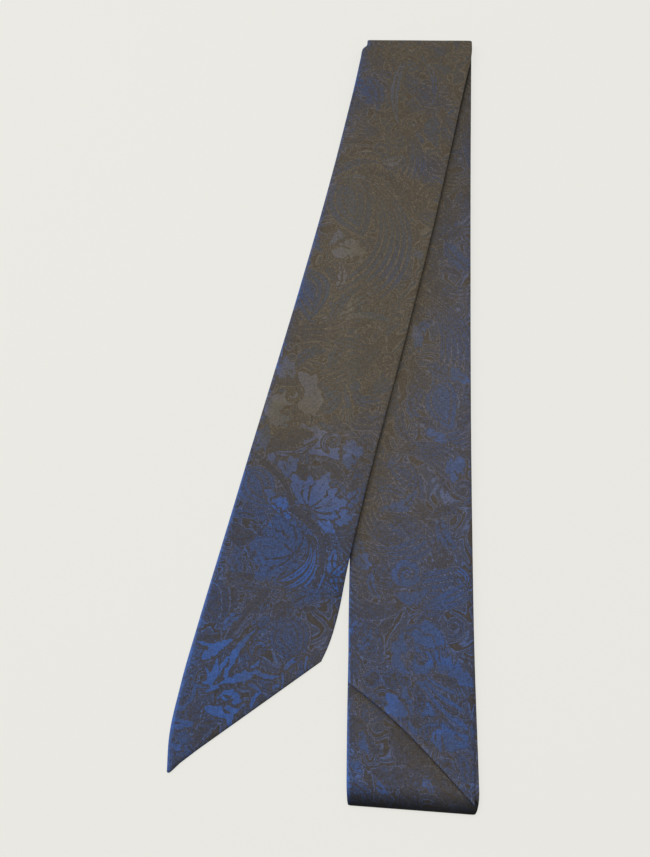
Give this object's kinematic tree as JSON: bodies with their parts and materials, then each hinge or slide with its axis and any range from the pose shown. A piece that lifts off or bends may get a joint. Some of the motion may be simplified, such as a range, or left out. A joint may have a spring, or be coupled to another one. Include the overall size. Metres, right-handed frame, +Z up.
{
  "type": "folded silk wild rag",
  "caption": "Slim two-ply jacquard silk scarf with slanted ends, folded and laid flat, its top stretch swung aside.",
  "frame": {"origin": "middle of the box that the folded rag fills, at table level", "axes": "+Z up from the table, +Y from the bottom fold to the two top folds, +X to the right of the stack, away from the loose stretch"},
  "size_m": [0.1528, 0.4534, 0.0065],
  "materials": {
    "loose_silk": "shot jacquard silk, bronze turning blue, soft satin sheen",
    "under_silk": "shot jacquard silk, brown turning slate blue, soft satin sheen",
    "layer_silk": "shot jacquard silk, slate brown, soft satin sheen"
  },
  "bodies": {
    "root": {"loose_stretch": "loose_silk", "under_stretch": "under_silk", "folded_layers": "layer_silk"}
  },
  "joints": []
}
